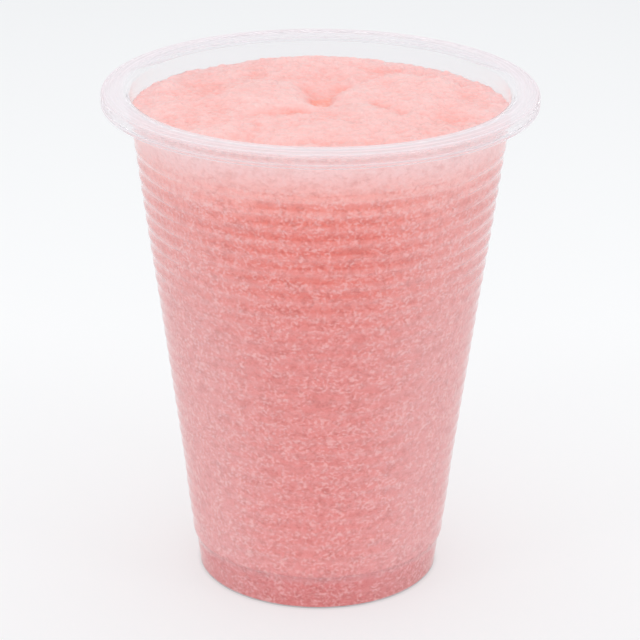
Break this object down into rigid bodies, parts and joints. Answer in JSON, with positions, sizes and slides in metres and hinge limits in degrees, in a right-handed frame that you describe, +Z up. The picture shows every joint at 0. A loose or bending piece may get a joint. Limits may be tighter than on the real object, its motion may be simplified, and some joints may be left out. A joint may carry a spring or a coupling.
{
  "type": "frozen slush drink",
  "caption": "Packed granular ice drink with a mounded top, filling a clear tapered cup with ribs round its wall, a hooked rim and a recessed foot.",
  "frame": {"origin": "centre of the cup's foot, on the surface that it stands on", "axes": "+Z up along the cup's axis, -Y towards the viewer of the picture"},
  "size_m": [0.075, 0.075, 0.0893],
  "materials": {
    "clear_plastic": "clear, slightly milky thin plastic with soft gloss",
    "pink_ice": "wet granular pink ice, pale on top and deeper pink towards the foot"
  },
  "bodies": {
    "root": {"cup": "clear_plastic", "slush": "pink_ice"}
  },
  "joints": []
}
